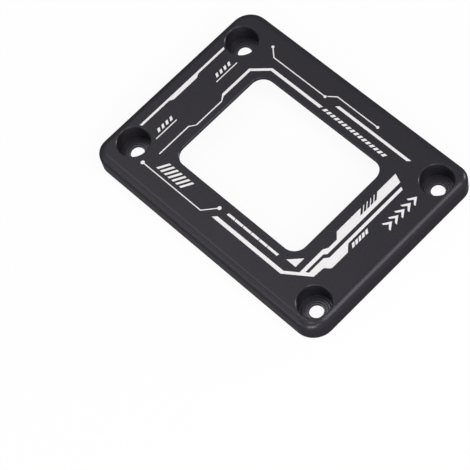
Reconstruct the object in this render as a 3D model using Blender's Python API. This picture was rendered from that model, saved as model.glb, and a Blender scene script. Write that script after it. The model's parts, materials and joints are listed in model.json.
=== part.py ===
"""CPU socket retention frame: one machined aluminium plate with a window, screwed down over a processor.

Metres, +Z up out of the marked face. The origin is the centre of the plate's outline, on its flat underside.
The long side runs along X. The near end is at -X, where the screws stand closer together, and the far end at +X.
The low side is at -Y and the high side at +Y. Everything is built outward from the window.
"""

import math

import bmesh
import bpy

MM = 0.001

# Window over the processor
window_length = 40.6 * MM
window_width = 30.2 * MM
window_corner_radius = 3.4 * MM
window_edge_chamfer = 0.2 * MM

# Lip round the window, which presses on the processor's flange from above
lip_thickness = 0.9 * MM
lip_reach_x = 2.6 * MM
lip_reach_y = 4.0 * MM
processor_recess_radius = 1.5 * MM

# Wider step of the recess, which clears the socket round the processor
socket_step_x = 2.1 * MM
socket_step_y = 1.9 * MM
socket_recess_radius = 2.0 * MM
socket_recess_depth = 3.2 * MM

# Screws, each in a deep counterbore: the board's own pattern is a trapezium
counterbore_diameter = 8.2 * MM
counterbore_floor = 0.9 * MM
counterbore_rim_chamfer = 0.22 * MM
screw_hole_diameter = 3.5 * MM
screw_hole_foot_chamfer = 0.1 * MM
near_bore_wall = 1.45 * MM
far_bore_wall = 2.35 * MM
near_screw_reach_y = 3.4 * MM
far_screw_reach_y = 5.4 * MM

# Plate round all of that, each corner with its own radius
plate_thickness = 6.0 * MM
near_end_rim = 2.2 * MM
far_end_rim = 1.6 * MM
low_side_wall = 6.0 * MM
high_side_wall = 6.2 * MM
near_low_corner_radius = 4.3 * MM
near_high_corner_radius = 5.4 * MM
far_low_corner_radius = 5.4 * MM
far_high_corner_radius = 4.0 * MM
top_edge_round = 2.05 * MM
foot_edge_chamfer = 0.25 * MM

# Bright laser marks, sunk a little into the face
mark_depth = 0.12 * MM
trace_width = 0.3 * MM
small_dot = 0.8 * MM
large_dot = 1.05 * MM
tick_pitch = 1.36 * MM
tick_count = 4
hatch_pitch = 1.306 * MM
hatch_count = 7
dash_pitch = 1.26 * MM
segment_pitch = 2.64 * MM
segment_gap = 0.12 * MM
notch_pitch = 1.175 * MM
notch_count = 5
block_pitch = 1.11 * MM
block_count = 5
chevron_pitch = 2.1 * MM
chevron_count = 5

# Facets
corner_arc_steps = 10
edge_round_steps = 8
hole_segments = 56
dot_segments = 14
past_face = 1.0 * MM

# Sizes that follow
processor_recess_length = window_length + 2 * lip_reach_x
processor_recess_width = window_width + 2 * lip_reach_y
socket_recess_length = processor_recess_length + 2 * socket_step_x
socket_recess_width = processor_recess_width + 2 * socket_step_y
near_end_width = lip_reach_x + socket_step_x + near_bore_wall + counterbore_diameter + near_end_rim
far_end_width = lip_reach_x + socket_step_x + far_bore_wall + counterbore_diameter + far_end_rim
low_side_width = lip_reach_y + socket_step_y + low_side_wall
high_side_width = lip_reach_y + socket_step_y + high_side_wall
plate_length = near_end_width + window_length + far_end_width
plate_width = low_side_width + window_width + high_side_width

# Plate corners in the order of an outline: anticlockwise from the far high one
plate_corner_radii = (
    far_high_corner_radius,
    near_high_corner_radius,
    near_low_corner_radius,
    far_low_corner_radius,
)

# Window edges on the plate
near_x = near_end_width - plate_length / 2
far_x = near_x + window_length
low_y = low_side_width - plate_width / 2
high_y = low_y + window_width
window_centre_x = (near_x + far_x) / 2
window_centre_y = (low_y + high_y) / 2
near_low = (near_x, low_y)
near_high = (near_x, high_y)
far_low = (far_x, low_y)
far_high = (far_x, high_y)

# Screw centres
near_screw_x = near_end_rim + counterbore_diameter / 2 - plate_length / 2
far_screw_x = plate_length / 2 - far_end_rim - counterbore_diameter / 2
screw_places = (
    (near_screw_x, low_y - near_screw_reach_y),
    (near_screw_x, high_y + near_screw_reach_y),
    (far_screw_x, low_y - far_screw_reach_y),
    (far_screw_x, high_y + far_screw_reach_y),
)


def clear_scene():
    """Removes whatever the scene holds before the plate is built."""
    for thing in list(bpy.data.objects):
        bpy.data.objects.remove(thing, do_unlink=True)


def finish(name, colour, metallic, roughness):
    """A material of one colour, metallic value and roughness."""
    material = bpy.data.materials.new(name)
    material.diffuse_color = colour
    material.use_nodes = True
    shader = material.node_tree.nodes["Principled BSDF"]
    shader.inputs["Base Color"].default_value = colour
    shader.inputs["Metallic"].default_value = metallic
    shader.inputs["Roughness"].default_value = roughness
    return material


def new_object(name, shape):
    """Puts a finished bmesh into the scene as a named object."""
    mesh = bpy.data.meshes.new(name)
    bmesh.ops.recalc_face_normals(shape, faces=shape.faces)
    shape.to_mesh(mesh)
    shape.free()
    body = bpy.data.objects.new(name, mesh)
    bpy.context.scene.collection.objects.link(body)
    return body


def add_loft(shape, levels):
    """Adds a closed solid through a stack of outlines, each given as (points, height)."""
    rings = []
    for points, height in levels:
        rings.append([shape.verts.new((x, y, height)) for x, y in points])
    for lower, upper in zip(rings, rings[1:]):
        for i in range(len(lower)):
            j = (i + 1) % len(lower)
            shape.faces.new((lower[i], lower[j], upper[j], upper[i]))
    shape.faces.new(list(reversed(rings[0])))
    shape.faces.new(rings[-1])


def loft(name, levels):
    """An object made of one lofted solid."""
    shape = bmesh.new()
    add_loft(shape, levels)
    return new_object(name, shape)


def turned(name, profile, centre_x, centre_y):
    """Closed solid of revolution about a vertical axis, from a (radius, height) profile that ends on the axis."""
    shape = bmesh.new()
    verts = [shape.verts.new((radius, 0.0, height)) for radius, height in profile]
    edges = [shape.edges.new(pair) for pair in zip(verts, verts[1:])]
    bmesh.ops.spin(
        shape,
        geom=verts + edges,
        cent=(0.0, 0.0, 0.0),
        axis=(0.0, 0.0, 1.0),
        angle=math.tau,
        steps=hole_segments,
    )
    bmesh.ops.remove_doubles(shape, verts=shape.verts, dist=0.001 * MM)
    bmesh.ops.translate(shape, verts=shape.verts, vec=(centre_x, centre_y, 0.0))
    return new_object(name, shape)


def rounded_rectangle(length, width, radii, centre_x=0.0, centre_y=0.0):
    """Anticlockwise outline from the far high corner on, with a quarter arc of its own radius at each corner."""
    points = []
    for corner, (side_x, side_y) in enumerate(((1, 1), (-1, 1), (-1, -1), (1, -1))):
        radius = min(radii[corner], 0.49 * length, 0.49 * width)
        arc_x = centre_x + side_x * (length / 2 - radius)
        arc_y = centre_y + side_y * (width / 2 - radius)
        for step in range(corner_arc_steps + 1):
            angle = math.radians(90.0 * (corner + step / corner_arc_steps))
            points.append((arc_x + radius * math.cos(angle), arc_y + radius * math.sin(angle)))
    return points


def plate_outline(inset):
    """The plate's outline drawn in by an inset, its corner arcs with it."""
    radii = [max(radius - inset, 0.05 * MM) for radius in plate_corner_radii]
    return rounded_rectangle(plate_length - 2 * inset, plate_width - 2 * inset, radii)


def plate_blank():
    """The plate before its cuts: chamfered foot, upright sides and a quarter round up to the face."""
    levels = [
        (plate_outline(foot_edge_chamfer), 0.0),
        (plate_outline(0.0), foot_edge_chamfer),
    ]
    for step in range(edge_round_steps + 1):
        angle = math.radians(90.0 * step / edge_round_steps)
        inset = top_edge_round * (1.0 - math.cos(angle))
        height = plate_thickness - top_edge_round * (1.0 - math.sin(angle))
        levels.append((plate_outline(inset), height))
    return loft("retention_frame", levels)


def window_outline(growth):
    """The window's outline, drawn out by a growth."""
    return rounded_rectangle(
        window_length + 2 * growth,
        window_width + 2 * growth,
        [window_corner_radius + growth] * 4,
        window_centre_x,
        window_centre_y,
    )


def window_cutter():
    """Cuts the window through the lip, with a small chamfer at the face that runs on above it."""
    levels = [
        (window_outline(0.0), -past_face),
        (window_outline(0.0), plate_thickness - window_edge_chamfer),
        (window_outline(window_edge_chamfer + past_face), plate_thickness + past_face),
    ]
    return loft("cut_window", levels)


def recess_cutter(name, length, width, radius, depth):
    """Cuts a rounded rectangular pocket up into the underside, in line with the window."""
    outline = rounded_rectangle(length, width, [radius] * 4, window_centre_x, window_centre_y)
    return loft(name, [(outline, -past_face), (outline, depth)])


def counterbore_cutter(name, centre_x, centre_y):
    """Cuts one screw's clearance hole, its foot chamfer, the deep counterbore and the rim chamfer."""
    hole_radius = screw_hole_diameter / 2
    bore_radius = counterbore_diameter / 2
    profile = [
        (0.0, -past_face),
        (hole_radius + screw_hole_foot_chamfer + past_face, -past_face),
        (hole_radius, screw_hole_foot_chamfer),
        (hole_radius, counterbore_floor),
        (bore_radius, counterbore_floor),
        (bore_radius, plate_thickness - counterbore_rim_chamfer),
        (bore_radius + counterbore_rim_chamfer + past_face, plate_thickness + past_face),
        (0.0, plate_thickness + past_face),
    ]
    return turned(name, profile, centre_x, centre_y)


def at(corner, points):
    """Points in millimetres from a corner of the window, as places on the face."""
    return [(corner[0] + x * MM, corner[1] + y * MM) for x, y in points]


def row(bar, count, pitch_x, pitch_y):
    """Copies of one bar's outline, each a pitch on from the last."""
    return [[(x + n * pitch_x, y + n * pitch_y) for x, y in bar] for n in range(count)]


def trace_end(centre, heading, dot):
    """Points round one end of a trace that leaves along the heading: a dot, or two square corners."""
    radius = max(dot, trace_width) / 2
    mouth = math.asin(trace_width / 2 / radius)
    steps = dot_segments if dot else 1
    points = []
    for step in range(steps + 1):
        angle = heading + mouth + (math.tau - 2 * mouth) * step / steps
        points.append((centre[0] + radius * math.cos(angle), centre[1] + radius * math.sin(angle)))
    return points


def trace(path, start_dot=0.0, end_dot=0.0):
    """A thin line along a path with mitred bends, and a round dot at an end that asks for one."""
    headings = [math.atan2(b[1] - a[1], b[0] - a[0]) for a, b in zip(path, path[1:])]
    left, right = [], []
    for (x, y), before, after in zip(path[1:], headings, headings[1:]):
        mean = (before + after) / 2
        reach = trace_width / 2 / math.cos((after - before) / 2)
        left.append((x - reach * math.sin(mean), y + reach * math.cos(mean)))
        right.append((x + reach * math.sin(mean), y - reach * math.cos(mean)))
    start = trace_end(path[0], headings[0], start_dot)
    end = trace_end(path[-1], headings[-1] + math.pi, end_dot)
    return start + right + end + left[::-1]


def end_stripe():
    """Stripe along the near end from one counterbore's rim to the other's, thicker halfway."""
    rim = counterbore_diameter / 2 + counterbore_rim_chamfer
    foot = (near_screw_x, screw_places[0][1] + rim)
    middle = (near_screw_x, window_centre_y)
    head = (near_screw_x, screw_places[1][1] - rim)
    return (
        at(foot, [(-2.15, -0.2), (-1.5, 0.1)])
        + at(middle, [(-1.5, -5.0), (-0.9, -3.95), (-0.9, 3.95), (-1.5, 5.0)])
        + at(head, [(-1.5, -0.1), (-2.15, 0.2)])
    )


def tick_gauge(corner, x, low, high, first_tick):
    """Fine line beside a column of four slanted ticks."""
    line = trace(at(corner, [(x, low), (x, high)]))
    left = x - 1.8
    tick = [
        (left, first_tick),
        (left + 1.05, first_tick - 0.55),
        (left + 1.05, first_tick + 0.2),
        (left, first_tick + 0.75),
    ]
    return [line] + row(at(corner, tick), tick_count, 0.0, tick_pitch)


def hatch_bars():
    """Seven leaning bars outside the window's near low corner."""
    bar = at(near_low, [(-0.95, -4.8), (-0.25, -4.8), (1.45, -1.9), (0.75, -1.9)])
    return row(bar, hatch_count, hatch_pitch, 0.0)


def window_stripe():
    """Stripe along the window's near end that thickens, turns the high corner and runs on along the high side."""
    outer_low = at(near_low, [(-3.15, -1.7), (-2.8, -1.7), (-2.8, 8.1), (-1.65, 9.7)])
    inner_high = at(near_high, [(-1.65, -12.0), (-2.45, -10.6), (-2.45, -1.45), (1.35, 1.8)])
    tip = at(near_high, [(17.45, 1.8), (18.05, 2.6)])
    outer_high = at(near_high, [(1.15, 2.6), (-3.2, -1.15), (-3.2, -10.4), (-2.0, -11.9)])
    return outer_low + inner_high + tip + outer_high + at(near_low, [(-2.0, 9.6), (-3.15, 8.2)])


def dash_row():
    """Leaning dashes that carry the window's stripe on along the high side, as many as the side has room for."""
    dash = at(near_high, [(18.35, 1.8), (19.2, 1.8), (19.8, 2.7), (18.95, 2.7)])
    room = far_x - 3.3 * MM - dash[0][0]
    count = max(1, 1 + math.floor(room / dash_pitch))
    return row(dash, count, dash_pitch, 0.0)


def side_stripe():
    """Plain stripe outside the row of dashes."""
    start = at(near_high, [(20.9, 5.25), (20.15, 4.5)])
    return start + at(far_high, [(2.55, 4.5), (3.35, 5.25)])


def high_traces():
    """Two thin traces with dots along the plate's high side."""
    first = at(near_high, [(-3.05, 7.0), (-0.7, 4.95), (16.45, 4.95)])
    second = at(near_high, [(16.83, 5.33), (18.75, 6.8)]) + at(far_high, [(-8.8, 6.8)])
    return [trace(first, small_dot, small_dot), trace(second, 0.0, small_dot)]


def low_trace():
    """Thin trace with a dot at both ends along the plate's low side."""
    path = at(near_low, [(-4.4, -5.9), (15.35, -5.9), (18.4, -2.6)])
    return trace(path, large_dot, large_dot)


def segmented_bar():
    """Bar along the low side with leaning ends, parted by fine upright gaps as far as it reaches."""
    foot, head = low_y - 2.72 * MM, low_y - 2.07 * MM
    start, end = near_x + 20.87 * MM, far_x - 3.3 * MM
    first_gap = start + 2.5 * MM
    gaps = max(1, 1 + math.floor((end - 1.0 * MM - first_gap) / segment_pitch))
    lefts, rights = [(start, start + 0.18 * MM)], []
    for n in range(gaps):
        middle = first_gap + n * segment_pitch
        rights.append((middle - segment_gap / 2, middle - segment_gap / 2))
        lefts.append((middle + segment_gap / 2, middle + segment_gap / 2))
    rights.append((end, end + 0.12 * MM))
    return [
        [(left[0], foot), (right[0], foot), (right[1], head), (left[1], head)] for left, right in zip(lefts, rights)
    ]


def corner_band():
    """Broad band along the low side that turns the far low corner and splits into two arms up the far end.

    The inner arm carries slanted notches in its edge, which keep the plate's colour.
    """
    points = at(near_low, [(18.55, -5.4)])
    outer_low = [(0.5, -5.4), (6.8, -1.0), (7.0, 2.05), (8.25, 3.0), (8.45, 3.5), (8.45, 8.55), (6.95, 10.3)]
    points += at(far_low, outer_low)
    points += at(far_high, [(6.95, -1.65), (6.15, -1.25)])
    points += at(far_low, [(6.15, 4.9), (5.25, 3.85), (5.25, -1.0), (4.55, -1.35), (4.55, 4.5), (5.2, 5.2)])
    points += at(far_high, [(5.2, -0.55), (2.8, 0.4)])
    for number in reversed(range(notch_count)):
        corner = (far_x, high_y - 10.92 * MM + number * notch_pitch)
        points += at(corner, [(2.8, 0.24), (4.12, -1.36), (4.12, -1.84), (2.8, -0.24)])
    points += at(far_low, [(2.8, 10.8), (4.25, 9.3), (4.25, 6.55), (3.55, 5.35), (3.55, -2.3), (0.5, -4.4)])
    return points + at(near_low, [(19.55, -4.4)])


def pointer():
    """Small triangle in the bend of the corner band."""
    return at(far_low, [(1.95, 1.0), (-1.05, -1.95), (1.95, -1.95)])


def block_column():
    """Slanted blocks with narrow gaps beside the band's outer arm."""
    block = at(far_low, [(7.55, 10.8), (8.55, 9.95), (8.55, 10.78), (7.55, 11.63)])
    return row(block, block_count, 0.0, block_pitch)


def chevrons():
    """Column of arrowheads that point to the high side."""
    wings = [(9.22, -11.25), (9.8, -11.25), (10.65, -10.3), (11.5, -11.25), (12.08, -11.25), (10.65, -9.2)]
    return row(at(far_high, wings), chevron_count, 0.0, chevron_pitch)


def face_marks():
    """Outline of every mark on the face."""
    outlines = [end_stripe(), window_stripe(), side_stripe(), low_trace(), corner_band(), pointer()]
    outlines += tick_gauge(near_low, -6.55, 0.7, 7.65, 2.75)
    outlines += tick_gauge(near_high, -6.65, -8.95, -1.8, -7.55)
    outlines += hatch_bars() + dash_row() + high_traces() + segmented_bar() + block_column() + chevrons()
    return outlines


def mark_cutter():
    """Sinks every mark into the face."""
    floor = plate_thickness - mark_depth
    shape = bmesh.new()
    for outline in face_marks():
        add_loft(shape, [(outline, floor), (outline, plate_thickness + past_face)])
    return new_object("cut_marks", shape)


def cut(body, cutter, keep_finish=False):
    """Takes the cutter's shape out of the body. The cut faces can keep the cutter's own finish."""
    cutter.hide_render = True
    cutter.display_type = "WIRE"
    step = body.modifiers.new(cutter.name, "BOOLEAN")
    step.operation = "DIFFERENCE"
    step.solver = "EXACT"
    step.material_mode = "TRANSFER" if keep_finish else "INDEX"
    step.object = cutter


def settle(body):
    """Makes the cuts final, drops the cutters and shades the rounds smooth between sharp edges."""
    graph = bpy.context.evaluated_depsgraph_get()
    body.data = bpy.data.meshes.new_from_object(body.evaluated_get(graph))
    cutters = [step.object for step in body.modifiers]
    body.modifiers.clear()
    for cutter in cutters:
        bpy.data.objects.remove(cutter, do_unlink=True)
    body.data.shade_smooth()
    body.data.set_sharp_from_angle(angle=math.radians(30.0))


def build():
    """Machines the plate: blank, window, stepped recess, counterbored screw holes, then the laser marks."""
    clear_scene()
    plate = plate_blank()
    plate.data.materials.append(finish("black_anodised_aluminium", (0.042, 0.040, 0.045, 1.0), 0.6, 0.42))
    cut(plate, window_cutter())
    lip_underside = plate_thickness - lip_thickness
    processor_size = (processor_recess_length, processor_recess_width, processor_recess_radius)
    cut(plate, recess_cutter("cut_processor_recess", *processor_size, lip_underside))
    socket_size = (socket_recess_length, socket_recess_width, socket_recess_radius)
    cut(plate, recess_cutter("cut_socket_recess", *socket_size, socket_recess_depth))
    for number, (x, y) in enumerate(screw_places, start=1):
        cut(plate, counterbore_cutter(f"cut_screw_{number}", x, y))
    marks = mark_cutter()
    marks.data.materials.append(finish("bright_laser_mark", (0.80, 0.78, 0.77, 1.0), 0.8, 0.4))
    cut(plate, marks, keep_finish=True)
    settle(plate)


build()
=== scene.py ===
"""Studio dress of a processor socket's retention frame.

A black anodised plate, bright laser marks, the floor and the light. Metres, +Z up out of the
marked face, in the machined part's own frame. The plate's skin and every mark are worked out from
that part's mesh, so they keep its sizes.
"""

import json
import math

import bpy
import numpy as np
from bpy.props import FloatProperty, FloatVectorProperty, PointerProperty
from bpy.types import Operator, Panel, PropertyGroup
from mathutils import Euler, Matrix, Vector


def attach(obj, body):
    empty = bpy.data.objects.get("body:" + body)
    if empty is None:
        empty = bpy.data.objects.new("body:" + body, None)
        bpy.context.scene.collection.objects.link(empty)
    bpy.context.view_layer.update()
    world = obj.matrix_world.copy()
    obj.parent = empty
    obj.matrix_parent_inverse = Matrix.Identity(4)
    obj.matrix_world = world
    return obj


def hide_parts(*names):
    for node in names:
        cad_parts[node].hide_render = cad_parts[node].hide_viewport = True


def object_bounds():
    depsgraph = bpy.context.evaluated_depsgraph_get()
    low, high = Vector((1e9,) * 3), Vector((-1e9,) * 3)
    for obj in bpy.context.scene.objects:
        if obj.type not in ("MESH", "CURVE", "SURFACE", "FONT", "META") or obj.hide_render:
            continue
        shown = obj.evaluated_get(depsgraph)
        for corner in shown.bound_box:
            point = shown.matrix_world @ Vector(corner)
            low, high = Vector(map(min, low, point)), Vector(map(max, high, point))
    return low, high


bl_info = {
    "name": "Socket retention frame dress",
    "version": (1, 0, 0),
    "blender": (4, 5, 0),
    "location": "View3D > Sidebar > Retention Frame",
    "description": "Finishes a machined processor retention frame and sets it in a plain studio",
    "category": "Object",
}

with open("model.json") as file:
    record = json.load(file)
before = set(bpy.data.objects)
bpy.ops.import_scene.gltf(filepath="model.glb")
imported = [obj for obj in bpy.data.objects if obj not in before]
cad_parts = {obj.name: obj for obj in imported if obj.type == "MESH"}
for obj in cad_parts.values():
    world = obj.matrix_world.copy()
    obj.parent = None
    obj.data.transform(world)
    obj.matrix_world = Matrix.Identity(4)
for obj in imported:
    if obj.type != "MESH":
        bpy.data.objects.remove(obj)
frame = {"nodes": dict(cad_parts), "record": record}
cad_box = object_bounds()

MM = 0.001
BODY = "root"
NODE = "retention_frame"
PLATE_SLOT = "black_anodised"
MARK_SLOT = "bright_mark"

MERGE_DISTANCE = 0.001 * MM
# A face whose normal's Z is past this is level, and weighs this much more in eased normals.
FLAT_ENOUGH = 0.9999
FLAT_WEIGHT = 1.0e6
# A mark's floor lies at least this far below the face.
LEAST_DEPTH = 0.05 * MM
# Run of a slanted notch's long edge along X and Y.
NOTCH_EDGE = (1.32 * MM, 1.6 * MM)
NOTCH_TOLERANCE = 0.005 * MM
NOISE_DETAIL = 3.0
NOISE_ROUGHNESS = 0.6
PLAIN_WHITE = (1.0, 1.0, 1.0, 1.0)
CLIP_NEAR, CLIP_FAR = 0.01, 100.0

openings = {
    opening["name"]: opening["box_m"] for opening in frame["record"]["physics"]["openings"]
}
low_corner, high_corner = cad_box


def node_triangles(name):
    """Points and triangles of a machined node.

    Its mesh is loose triangles, so points that round to the same thousandth of a millimetre
    become one point.
    """
    mesh = frame["nodes"][name].data
    points = np.empty(3 * len(mesh.vertices), np.float32)
    mesh.vertices.foreach_get("co", points)
    corners = np.empty(len(mesh.loops), np.int32)
    mesh.loops.foreach_get("vertex_index", corners)
    points = points.reshape(-1, 3).astype(float)
    rounded = np.round(points / MERGE_DISTANCE)
    _, first, merged = np.unique(rounded, axis=0, return_index=True, return_inverse=True)
    return points[first], merged.ravel()[corners].reshape(-1, 3)


def facing(points, triangles):
    """Unit normal and area of each triangle.

    Both come from the cross product of two edges: its direction, and half its length.
    """
    first, second, third = points[triangles].transpose(1, 0, 2)
    cross = np.cross(second - first, third - first)
    length = np.linalg.norm(cross, axis=1)
    return cross / length[:, None], length / 2


def eased_normals(points, triangles, limit):
    """A normal for each corner of each triangle, so that narrow chamfers and facets read as rounds.

    A corner takes the mean of the faces round its point that lie within the limit of its own face,
    weighted by area. Level faces count a million times over, and keep their own normal, so that
    they stay perfectly flat.
    """
    normals, areas = facing(points, triangles)
    level = np.abs(normals[:, 2]) > FLAT_ENOUGH
    weights = areas * np.where(level, FLAT_WEIGHT, 1.0)
    corner_point = triangles.ravel()
    corner_face = np.repeat(np.arange(len(triangles)), 3)
    by_point = np.argsort(corner_point, kind="stable")
    count = np.bincount(corner_point, minlength=len(points))
    start = np.cumsum(count) - count
    mates = count[corner_point]
    here = np.repeat(np.arange(len(corner_point)), mates)
    step = np.arange(len(here)) - np.repeat(np.cumsum(mates) - mates, mates)
    there = by_point[start[corner_point[here]] + step]
    own, other = corner_face[here], corner_face[there]
    meets = (normals[own] * normals[other]).sum(axis=1) > math.cos(limit)
    total = np.zeros((len(corner_point), 3))
    np.add.at(total, here[meets], normals[other[meets]] * weights[other[meets], None])
    total[level[corner_face]] = normals[corner_face[level[corner_face]]]
    return total / np.linalg.norm(total, axis=1)[:, None]


def recess_floors(points, triangles):
    """Triangles on the floors of the engraved marks.

    They face up, on the highest level that lies well below the face.
    """
    normals, _ = facing(points, triangles)
    heights = points[triangles].max(axis=1)[:, 2]
    sunk = (normals[:, 2] > FLAT_ENOUGH) & (heights < high_corner.z - LEAST_DEPTH)
    return triangles[sunk & (heights > heights[sunk].max() - MERGE_DISTANCE)]


def islands(triangles, count):
    """For each triangle, the lowest point number that its island holds.

    An island is all the triangles that can be reached through shared points.
    """
    lowest = np.arange(count)
    while True:
        before = lowest.copy()
        np.minimum.at(lowest, triangles, lowest[triangles].min(axis=1)[:, None])
        if (lowest == before).all():
            return lowest[triangles[:, 0]]


def sides_of_window(points, triangles):
    """For each triangle, the side of the window that its island lies furthest beyond.

    The sides are numbered near, far, low and high.
    """
    (near_x, low_y, _), (far_x, high_y, _) = openings["window"]
    _, island = np.unique(islands(triangles, len(points)), return_inverse=True)
    centres = points[triangles].mean(axis=1)
    size = np.bincount(island)
    x = np.bincount(island, centres[:, 0]) / size
    y = np.bincount(island, centres[:, 1]) / size
    return np.argmax([near_x - x, x - far_x, low_y - y, y - high_y], axis=0)[island]


def notch_shift(outline, along, inward, count, room):
    """How far each outline point moves so that the notches' long edges lie back by the room.

    A long edge is known by its run along X and Y. A point where one edge, its inward normal a,
    arrives and another, b, leaves moves to the crossing of both lines once they lie back by p and
    q: (p * b.y - q * a.y, q * a.x - p * b.x) / (a.x * b.y - a.y * b.x). It stays where both p and
    q are 0.
    """
    back = room * (np.abs(np.abs(along) - NOTCH_EDGE) < NOTCH_TOLERANCE).all(axis=1)
    arriving, leaving = np.zeros((2, count, 3))
    arriving[outline[:, 1]] = np.column_stack([inward, back])
    leaving[outline[:, 0]] = np.column_stack([inward, back])
    (ax, ay, p), (bx, by, q) = arriving.T, leaving.T
    moved = (p > 0) | (q > 0)
    slant = np.where(moved, ax * by - ay * bx, 1.0)
    return np.column_stack([p * by - q * ay, q * ax - p * bx]) / slant[:, None]


def inlay(points, triangles, profile, room):
    """Closed plates that fill flat recesses: points and faces.

    The profile, pairs of inset and height from foot to top, is carried along the recesses' outline.
    An outline edge is one that no second triangle shares. Each of its points moves inward by the
    inset times the mitre, which is twice the sum of its two edges' inward normals over that sum's
    square. The recess's own triangles close the foot and the top. A notch is also left wider by
    the room on both sides.
    """
    used, triangles = np.unique(triangles, return_inverse=True)
    triangles = triangles.reshape(-1, 3)
    flat = points[used, :2]
    count = len(used)
    edges = np.concatenate([triangles[:, pair] for pair in ([0, 1], [1, 2], [2, 0])])
    outline = edges[~np.isin(edges @ [count, 1], edges @ [1, count])]
    along = flat[outline[:, 1]] - flat[outline[:, 0]]
    inward = np.column_stack([-along[:, 1], along[:, 0]])
    inward = inward / np.linalg.norm(along, axis=1)[:, None]
    total = np.zeros_like(flat)
    np.add.at(total, outline[:, 0], inward)
    np.add.at(total, outline[:, 1], inward)
    mitre = 2 * total / (total**2).sum(axis=1)[:, None]
    flat = flat + notch_shift(outline, along, inward, count, room)
    rings = [
        np.column_stack([flat + inset * mitre, np.full(count, height)]) for inset, height in profile
    ]
    faces = triangles[:, ::-1].tolist() + (triangles + count * (len(profile) - 1)).tolist()
    for ring in range(len(profile) - 1):
        foot, head = outline + ring * count, outline + (ring + 1) * count
        faces += np.column_stack([foot, head[:, ::-1]]).tolist()
    return np.concatenate(rings), faces


def new_piece(name, points, faces, finish, slot):
    """A finished piece: a mesh in place, its object at the origin, riding on the body.

    It takes the given finish; its slot is not used.
    """
    mesh = bpy.data.meshes.new(name)
    mesh.from_pydata(points, [], faces)
    mesh.materials.append(finish)
    piece = bpy.data.objects.new(name, mesh)
    bpy.context.scene.collection.objects.link(piece)
    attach(piece, BODY)
    return piece


def add(tree, kind, inputs=None, **settings):
    """A node with its settings and inputs.

    An input, by name or number, is set to a value or linked from an output.
    """
    node = tree.nodes.new(kind)
    for name, value in settings.items():
        setattr(node, name, value)
    for key, value in (inputs or {}).items():
        if isinstance(value, bpy.types.NodeSocket):
            tree.links.new(value, node.inputs[key])
        else:
            node.inputs[key].default_value = value
    return node


def maths(tree, operation, *values, clamp=False):
    """The result of one sum on values and outputs."""
    inputs = dict(enumerate(values))
    node = add(tree, "ShaderNodeMath", inputs, operation=operation, use_clamp=clamp)
    return node.outputs[0]


def new_group(name, inputs, outputs):
    """An empty group of shader nodes: its tree, input node and output node."""
    tree = bpy.data.node_groups.new(name, "ShaderNodeTree")
    for socket, kind in inputs.items():
        tree.interface.new_socket(socket, in_out="INPUT", socket_type=kind)
    for socket, kind in outputs.items():
        tree.interface.new_socket(socket, in_out="OUTPUT", socket_type=kind)
    return tree, tree.nodes.new("NodeGroupInput"), tree.nodes.new("NodeGroupOutput")


def mottled_grain():
    """Group: fine grain and slow patches.

    Grain is noise of the given grain size, Patch is noise a given size across, both about 0 to 1.
    """
    sizes = {"Grain Size": "NodeSocketFloat", "Patch Size": "NodeSocketFloat"}
    results = {"Grain": "NodeSocketFloat", "Patch": "NodeSocketFloat"}
    tree, given, result = new_group("mottled_grain", sizes, results)
    place = add(tree, "ShaderNodeTexCoord").outputs["Object"]
    for size, output in (("Grain Size", "Grain"), ("Patch Size", "Patch")):
        scale = maths(tree, "DIVIDE", 1.0, given.outputs[size])
        look = {"Scale": scale, "Detail": NOISE_DETAIL, "Roughness": NOISE_ROUGHNESS}
        noise = add(tree, "ShaderNodeTexNoise", {"Vector": place, **look})
        tree.links.new(noise.outputs["Fac"], result.inputs[output])
    return tree


def mottled_grain_of():
    """The grain group, made at its first use."""
    return bpy.data.node_groups.get("mottled_grain") or mottled_grain()


def turned_rings():
    """Group: a round bore and the rings that a cutter leaves on its floor.

    Inside the Radius round the Centre, Bore falls from 1 at the Centre's height to 0 at the Depth
    above it; the plate uses it to lay a lighter tone into its bores, partly the turned finish's own
    tone and partly painted light. Rings is a sine of the distance from the axis over the Pitch,
    inside the Radius and below the Centre's height. Both are 0 elsewhere, and more than the Pitch
    below the Centre.
    """
    sizes = {"Centre": "NodeSocketVector", "Radius": "NodeSocketFloat",
             "Depth": "NodeSocketFloat", "Pitch": "NodeSocketFloat"}
    results = {"Bore": "NodeSocketFloat", "Rings": "NodeSocketFloat"}
    tree, given, result = new_group("turned_rings", sizes, results)
    place = add(tree, "ShaderNodeTexCoord").outputs["Object"]
    ends = {0: place, 1: given.outputs["Centre"]}
    offset = add(tree, "ShaderNodeVectorMath", ends, operation="SUBTRACT")
    apart = add(tree, "ShaderNodeSeparateXYZ", {0: offset.outputs[0]})
    squares = [maths(tree, "POWER", apart.outputs[axis], 2.0) for axis in "XY"]
    across = maths(tree, "SQRT", maths(tree, "ADD", *squares))
    inside = maths(tree, "LESS_THAN", across, given.outputs["Radius"])
    height = maths(tree, "ADD", apart.outputs["Z"], given.outputs["Pitch"])
    inside = maths(tree, "MULTIPLY", inside, maths(tree, "GREATER_THAN", height, 0.0))
    rise = maths(tree, "DIVIDE", apart.outputs["Z"], given.outputs["Depth"])
    sunk = maths(tree, "SUBTRACT", 1.0, rise, clamp=True)
    low = maths(tree, "LESS_THAN", apart.outputs["Z"], 0.0)
    turns = maths(tree, "DIVIDE", across, given.outputs["Pitch"])
    wave = maths(tree, "SINE", maths(tree, "MULTIPLY", turns, math.tau))
    rings = maths(tree, "MULTIPLY", maths(tree, "MULTIPLY", inside, low), wave)
    tree.links.new(maths(tree, "MULTIPLY", inside, sunk), result.inputs["Bore"])
    tree.links.new(rings, result.inputs["Rings"])
    return tree


def group_node(tree, group, inputs):
    """A node that holds a group, with its inputs set."""
    node = tree.nodes.new("ShaderNodeGroup")
    node.node_tree = group
    for name, value in inputs.items():
        node.inputs[name].default_value = value
    return node


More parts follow.
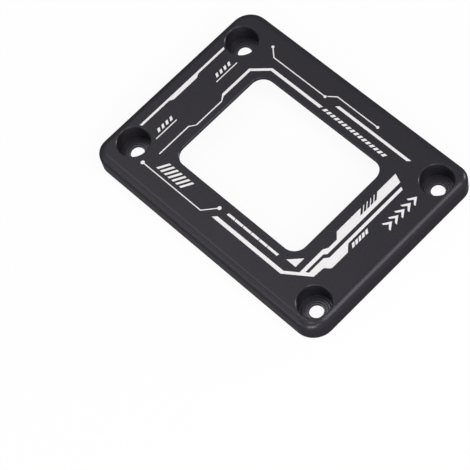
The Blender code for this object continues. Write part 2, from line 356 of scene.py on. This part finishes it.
def new_finish(name):
    """A material with only its output and one Principled BSDF.

    Gives the material, its tree and the shader.
    """
    material = bpy.data.materials.new(name)
    material.use_nodes = True
    tree = material.node_tree
    return material, tree, tree.nodes["Principled BSDF"]


def toned(tree, colour, tone):
    """A colour times a tone."""
    scaled = add(tree, "ShaderNodeVectorMath", {0: colour[:3], "Scale": tone}, operation="SCALE")
    return scaled.outputs[0]


def spread(tree, value, low, high):
    """A value of 0 to 1 spread over a range."""
    ends = {"Value": value, "To Min": low, "To Max": high}
    return add(tree, "ShaderNodeMapRange", ends).outputs["Result"]


def grained(tree, look):
    """A finish's fine grain, and its tone: the grain's swing times the patches' swing."""
    sizes = {"Grain Size": look.grain_size, "Patch Size": look.patch_size}
    fine = group_node(tree, mottled_grain_of(), sizes).outputs
    swings = {"Grain": look.grain_tone, "Patch": look.patch_tone}
    tones = [spread(tree, fine[name], 1 - swing, 1 + swing) for name, swing in swings.items()]
    return fine["Grain"], maths(tree, "MULTIPLY", *tones)


def in_relief(tree, shader, height):
    """Leads a height in metres to a shader's normal."""
    bump = add(tree, "ShaderNodeBump", {"Height": height, "Distance": 1.0})
    tree.links.new(bump.outputs["Normal"], shader.inputs["Normal"])


def anodised_finish(look):
    """Satin black over a fine blasted grain, with turning rings on the counterbore floors."""
    material, tree, shader = new_finish("black_anodised")
    grain, tone = grained(tree, look)
    rings = turned_rings()
    bore, height = 0.0, 0.0
    for name, (low, high) in openings.items():
        if not name.startswith("counterbore"):
            continue
        centre = ((low[0] + high[0]) / 2, (low[1] + high[1]) / 2, look.ring_level)
        sizes = {"Radius": look.ring_reach, "Depth": look.bore_depth, "Pitch": look.ring_pitch}
        turned = group_node(tree, rings, {"Centre": centre, **sizes})
        bore = maths(tree, "ADD", bore, turned.outputs["Bore"])
        height = maths(tree, "ADD", height, turned.outputs["Rings"])
    # Tone of the turning rings, then the lighter bore: partly the turned finish's own tone, partly
    # painted light that lifts the bore's shaded walls and floor.
    for mask, swing in ((height, look.ring_tone), (bore, look.bore_finish_and_painted_light - 1.0)):
        tone = maths(tree, "MULTIPLY", tone, maths(tree, "MULTIPLY_ADD", mask, swing, 1.0))
    tree.links.new(toned(tree, look.colour, tone), shader.inputs["Base Color"])
    swing = look.roughness_swing
    rough = spread(tree, grain, look.roughness - swing, look.roughness + swing)
    tree.links.new(rough, shader.inputs["Roughness"])
    ripple = maths(tree, "MULTIPLY", height, look.ring_depth)
    in_relief(tree, shader, maths(tree, "MULTIPLY_ADD", grain, look.grain_depth, ripple))
    shader.inputs["Metallic"].default_value = look.metallic
    shader.inputs["Specular IOR Level"].default_value = 0.0
    shader.inputs["Specular Tint"].default_value = (*[look.edge_tint] * 3, 1.0)
    return material


def laser_finish(look):
    """Bare metal that a laser has laid open: near white, with a fine matt grain."""
    material, tree, shader = new_finish("bright_laser_mark")
    grain, tone = grained(tree, look)
    tree.links.new(toned(tree, look.colour, tone), shader.inputs["Base Color"])
    in_relief(tree, shader, maths(tree, "MULTIPLY", grain, look.grain_depth))
    shader.inputs["Metallic"].default_value = look.metallic
    shader.inputs["Roughness"].default_value = look.roughness
    return material


class PlateLook(PropertyGroup):
    """Finish of the black plate."""

    colour: FloatVectorProperty(
        name="Colour", description="Colour of the dyed oxide", subtype="COLOR", size=4,
        default=(0.0305, 0.029, 0.0336, 1.0), min=0.0, max=1.0,
    )
    metallic: FloatProperty(
        name="Metallic", description="Share of metal sheen", subtype="FACTOR", default=0.6,
    )
    edge_tint: FloatProperty(
        name="Edge tint", description="Reflection at a grazing look, 1 for clean metal",
        subtype="FACTOR", default=0.43,
    )
    roughness: FloatProperty(
        name="Roughness", description="Mean roughness", subtype="FACTOR", default=0.3,
    )
    roughness_swing: FloatProperty(
        name="Roughness swing", description="Swing of the roughness with the grain",
        subtype="FACTOR", default=0.05,
    )
    round_limit: FloatProperty(
        name="Round limit", description="Widest angle between faces that is shaded as a round",
        subtype="ANGLE", default=math.radians(40.0),
    )
    grain_size: FloatProperty(
        name="Grain size", description="Size of the blasted grain", unit="LENGTH",
        default=0.26 * MM, precision=6,
    )
    grain_depth: FloatProperty(
        name="Grain depth", description="Depth of the grain", unit="LENGTH",
        default=0.009 * MM, precision=6,
    )
    grain_tone: FloatProperty(
        name="Grain tone", description="Tone swing of the grain", subtype="FACTOR", default=0.5,
    )
    patch_size: FloatProperty(
        name="Patch size", description="Size of the slow patches", unit="LENGTH",
        default=9.0 * MM, precision=5,
    )
    patch_tone: FloatProperty(
        name="Patch tone", description="Tone swing of the patches", subtype="FACTOR", default=0.05,
    )
    ring_reach: FloatProperty(
        name="Ring reach", description="Radius that the turning rings reach to", unit="LENGTH",
        default=4.12 * MM, precision=5,
    )
    # The bore's lighter tone, partly turned finish and partly painted light, fades out over this
    # height up its walls.
    bore_depth: FloatProperty(
        name="Bore depth", description="Height over which a bore's tone fades into the plate's",
        unit="LENGTH", default=4.7 * MM, precision=5,
    )
    ring_level: FloatProperty(
        name="Ring level", description="Height below which a counterbore is turned", unit="LENGTH",
        default=1.0 * MM, precision=5,
    )
    ring_pitch: FloatProperty(
        name="Ring pitch", description="Distance from ring to ring", unit="LENGTH",
        default=0.62 * MM, precision=6,
    )
    ring_depth: FloatProperty(
        name="Ring depth", description="Depth of the turning rings", unit="LENGTH",
        default=0.009 * MM, precision=6,
    )
    ring_tone: FloatProperty(
        name="Ring tone", description="Tone swing of the turning rings", subtype="FACTOR",
        default=0.14,
    )
    # Lightens the bore's foot: partly the turned floor's own lighter finish, partly painted light
    # that stands in for the light the deep bore shades away.
    bore_finish_and_painted_light: FloatProperty(
        name="Bore tone", description="How many times lighter than the plate a bore's foot is",
        default=2.4,
    )


class MarkLook(PropertyGroup):
    """Size and finish of the laser marks."""

    colour: FloatVectorProperty(
        name="Colour", description="Colour of the bare metal", subtype="COLOR", size=4,
        default=(0.74, 0.724, 0.728, 1.0), min=0.0, max=1.0,
    )
    metallic: FloatProperty(
        name="Metallic", description="Share of metal sheen", subtype="FACTOR", default=0.2,
    )
    roughness: FloatProperty(
        name="Roughness", description="Roughness of the burnt metal", subtype="FACTOR", default=0.5,
    )
    gap: FloatProperty(
        name="Gap", description="Gap to the recess's wall and floor", unit="LENGTH",
        default=0.008 * MM, precision=6,
    )
    sink: FloatProperty(
        name="Sink", description="How far the mark lies below the face", unit="LENGTH",
        default=0.015 * MM, precision=6,
    )
    edge: FloatProperty(
        name="Edge", description="Chamfer round the mark", unit="LENGTH",
        default=0.01 * MM, precision=6,
    )
    notch_room: FloatProperty(
        name="Notch room", description="Bare width on both sides of a slanted notch",
        unit="LENGTH", default=0.11 * MM, precision=6,
    )
    grain_size: FloatProperty(
        name="Grain size", description="Size of the burnt grain", unit="LENGTH",
        default=0.22 * MM, precision=6,
    )
    grain_depth: FloatProperty(
        name="Grain depth", description="Depth of the grain", unit="LENGTH",
        default=0.01 * MM, precision=6,
    )
    grain_tone: FloatProperty(
        name="Grain tone", description="Tone swing of the grain", subtype="FACTOR", default=0.28,
    )
    patch_size: FloatProperty(
        name="Patch size", description="Size of the slow patches", unit="LENGTH",
        default=3.0 * MM, precision=5,
    )
    patch_tone: FloatProperty(
        name="Patch tone", description="Tone swing of the patches", subtype="FACTOR", default=0.02,
    )


class StudioLook(PropertyGroup):
    """Floor, light and camera."""

    floor_colour: FloatVectorProperty(
        name="Floor colour", description="Colour of the pale floor", subtype="COLOR", size=4,
        default=(0.9, 0.9, 0.9, 1.0), min=0.0, max=1.0,
    )
    floor_size: FloatProperty(
        name="Floor size", description="Side of the floor", unit="LENGTH", default=6.0,
    )
    floor_drop: FloatProperty(
        name="Floor drop", description="Hair's breadth from the plate's foot to the floor",
        unit="LENGTH", default=0.02 * MM, precision=6,
    )
    floor_glow: FloatProperty(
        name="Floor glow", description="Share of plain white in the floor as the camera sees it",
        subtype="FACTOR", default=0.93,
    )
    ambient: FloatProperty(
        name="Ambient", description="Strength of the even light from all round", default=0.12,
    )
    azimuth: FloatProperty(
        name="Azimuth", description="Camera's bearing round the plate, 0 looks along +Y",
        subtype="ANGLE", default=math.radians(60.505),
    )
    elevation: FloatProperty(
        name="Elevation", description="Camera's height over the horizon", subtype="ANGLE",
        default=math.radians(61.366),
    )
    roll: FloatProperty(
        name="Roll", description="Camera's turn about its own axis", subtype="ANGLE",
        default=math.radians(-17.61),
    )
    distance: FloatProperty(
        name="Distance", description="From the camera to its aim", unit="LENGTH",
        default=448.96 * MM, precision=5,
    )
    aim: FloatVectorProperty(
        name="Aim", description="Point that the camera looks at", subtype="XYZ", unit="LENGTH",
        default=(4.284 * MM, -19.604 * MM, 3.0 * MM), precision=5,
    )
    lens: FloatProperty(name="Lens", description="Focal length in millimetres", default=148.03)


# Azimuth and elevation in degrees, width and height in metres, power in watts.
LAMPS = {
    "right_softbox": {"azimuth": 108.0, "elevation": 45.0, "size": (0.4, 0.6), "power": 4.8},
    "corner_light": {"azimuth": 37.0, "elevation": 8.0, "size": (0.4, 0.28), "power": 6.8},
    "front_strip": {"azimuth": 345.0, "elevation": 9.0, "size": (0.6, 0.35), "power": 1.6},
    "left_softbox": {"azimuth": 325.0, "elevation": 38.0, "size": (0.4, 0.4), "power": 0.75},
    "back_softbox": {"azimuth": 275.0, "elevation": 66.0, "size": (0.4, 0.4), "power": 1.6},
    "rim_light": {"azimuth": 60.0, "elevation": 29.0, "size": (0.26, 0.2), "power": 1.4},
    "front_rim_light": {"azimuth": 28.0, "elevation": 64.0, "size": (0.2, 0.2), "power": 1.6},
    "far_corner_light": {"azimuth": 160.0, "elevation": 9.0, "size": (0.3, 0.3), "power": 5.2},
}
LAMP_DISTANCE = 1.0


def bearing(azimuth, elevation):
    """Unit vector to a place round the plate: azimuth 0 lies at -Y, 90 degrees at +X."""
    level = math.cos(elevation)
    return Vector((math.sin(azimuth) * level, -math.cos(azimuth) * level, math.sin(elevation)))


class SCENE_OT_retention_plate(Operator):
    """Gives the machined plate its eased skin and its black finish"""

    bl_idname = "scene.retention_plate"
    bl_label = "Black plate"

    def execute(self, context):
        look = context.scene.plate_look
        points, triangles = node_triangles(NODE)
        finish = anodised_finish(look)
        plate = new_piece("retention_plate", points, triangles.tolist(), finish, PLATE_SLOT)
        plate.data.shade_smooth()
        plate.data.normals_split_custom_set(eased_normals(points, triangles, look.round_limit))
        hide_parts(NODE)
        return {"FINISHED"}


class SCENE_OT_retention_marks(Operator):
    """Fills the engraved marks with bright metal, one piece for each side of the window"""

    bl_idname = "scene.retention_marks"
    bl_label = "Laser marks"

    def execute(self, context):
        look = context.scene.mark_look
        points, triangles = node_triangles(NODE)
        floors = recess_floors(points, triangles)
        sides = sides_of_window(points, floors)
        foot = points[floors[0, 0], 2] + look.gap
        top = high_corner.z - look.sink
        profile = [(look.gap, foot), (look.gap, top - look.edge), (look.gap + look.edge, top)]
        finish = laser_finish(look)
        names = ("near_end_marks", "far_end_marks", "low_side_marks", "high_side_marks")
        for side, name in enumerate(names):
            plates = inlay(points, floors[sides == side], profile, look.notch_room)
            new_piece(name, *plates, finish, MARK_SLOT)
        return {"FINISHED"}


class SCENE_OT_retention_studio(Operator):
    """Sets the pale floor, the soft light, the camera and the plain view"""

    bl_idname = "scene.retention_studio"
    bl_label = "Studio"

    def execute(self, context):
        look = context.scene.studio_look
        self.add_floor(context.scene, look)
        self.add_world(context.scene, look)
        for name, lamp in LAMPS.items():
            self.add_lamp(context.scene, name, lamp)
        self.add_camera(context.scene, look)
        context.scene.view_settings.view_transform = "Standard"
        return {"FINISHED"}

    @staticmethod
    def seen_directly(tree):
        """1 for a look from the camera, or one by way of a gloss or a clear body, and else 0."""
        path = add(tree, "ShaderNodeLightPath").outputs
        either = maths(tree, "MAXIMUM", path["Is Camera Ray"], path["Is Glossy Ray"])
        return maths(tree, "MAXIMUM", either, path["Is Transmission Ray"])

    def add_floor(self, scene, look):
        """A level square under the plate, partly plain white to the eye, so its shadow stays soft.

        Its corners lie half its side from the origin along X and Y.
        """
        half = look.floor_size / 2
        corners = np.array([(-1, -1), (1, -1), (1, 1), (-1, 1)]) * half
        mesh = bpy.data.meshes.new("studio_floor")
        height = low_corner.z - look.floor_drop
        mesh.from_pydata(np.column_stack([corners, np.full(4, height)]), [], [(0, 1, 2, 3)])
        floor = bpy.data.objects.new("studio_floor", mesh)
        scene.collection.objects.link(floor)
        material, tree, shader = new_finish("pale_floor")
        shader.inputs["Base Color"].default_value = look.floor_colour
        shader.inputs["Roughness"].default_value = 1.0
        shader.inputs["Specular IOR Level"].default_value = 0.0
        glow = add(tree, "ShaderNodeEmission", {"Color": PLAIN_WHITE, "Strength": 1.0})
        share = maths(tree, "MULTIPLY", self.seen_directly(tree), look.floor_glow)
        mix = add(tree, "ShaderNodeMixShader", {0: share, 1: shader.outputs[0], 2: glow.outputs[0]})
        tree.links.new(mix.outputs[0], tree.nodes["Material Output"].inputs["Surface"])
        mesh.materials.append(material)

    def add_world(self, scene, look):
        """Even light from all round, white where it is seen."""
        world = bpy.data.worlds.new("studio_world")
        world.use_nodes = True
        tree = world.node_tree
        strength = spread(tree, self.seen_directly(tree), look.ambient, 1.0)
        background = tree.nodes["Background"]
        background.inputs["Color"].default_value = PLAIN_WHITE
        tree.links.new(strength, background.inputs["Strength"])
        scene.world = world

    def add_lamp(self, scene, name, lamp):
        """A soft rectangular lamp that faces the plate's middle."""
        light = bpy.data.lights.new(name, "AREA")
        light.shape = "RECTANGLE"
        light.size, light.size_y = lamp["size"]
        light.energy = lamp["power"]
        towards = bearing(math.radians(lamp["azimuth"]), math.radians(lamp["elevation"]))
        holder = bpy.data.objects.new(name, light)
        holder.location = towards * LAMP_DISTANCE
        holder.rotation_euler = towards.to_track_quat("Z", "Y").to_euler()
        scene.collection.objects.link(holder)

    def add_camera(self, scene, look):
        """A long lens that looks down on the face, turned about its own axis."""
        data = bpy.data.cameras.new("studio_camera")
        data.lens = look.lens
        data.clip_start, data.clip_end = CLIP_NEAR, CLIP_FAR
        camera = bpy.data.objects.new("studio_camera", data)
        tilt = Euler((math.pi / 2 - look.elevation, 0.0, look.azimuth)).to_matrix()
        turn = tilt @ Matrix.Rotation(look.roll, 3, "Z")
        place = Vector(look.aim) + bearing(look.azimuth, look.elevation) * look.distance
        camera.matrix_world = Matrix.LocRotScale(place, turn, None)
        scene.collection.objects.link(camera)
        scene.camera = camera


class VIEW3D_PT_retention_frame(Panel):
    """Lists the steps that dress the retention frame"""

    bl_label = "Retention Frame"
    bl_space_type = "VIEW_3D"
    bl_region_type = "UI"
    bl_category = "Retention Frame"

    def draw(self, context):
        for step in STEPS:
            self.layout.operator(step.bl_idname)
        for look in LOOKS:
            settings = getattr(context.scene, look)
            box = self.layout.box()
            box.label(text=settings.bl_rna.description)
            for name in settings.__annotations__:
                box.prop(settings, name)


STEPS = (SCENE_OT_retention_plate, SCENE_OT_retention_marks, SCENE_OT_retention_studio)
LOOKS = {"plate_look": PlateLook, "mark_look": MarkLook, "studio_look": StudioLook}


def register():
    """Registers the settings, the steps and the panel."""
    for look in LOOKS.values():
        bpy.utils.register_class(look)
    for step in STEPS:
        bpy.utils.register_class(step)
    bpy.utils.register_class(VIEW3D_PT_retention_frame)
    for name, look in LOOKS.items():
        setattr(bpy.types.Scene, name, PointerProperty(type=look))


def unregister():
    """Takes back what register did."""
    for name in LOOKS:
        delattr(bpy.types.Scene, name)
    bpy.utils.unregister_class(VIEW3D_PT_retention_frame)
    for step in reversed(STEPS):
        bpy.utils.unregister_class(step)
    for look in reversed(LOOKS.values()):
        bpy.utils.unregister_class(look)


def main():
    """Dresses the frame step by step."""
    register()
    bpy.ops.scene.retention_plate()
    bpy.ops.scene.retention_marks()
    bpy.ops.scene.retention_studio()


if __name__ == "__main__":
    main()
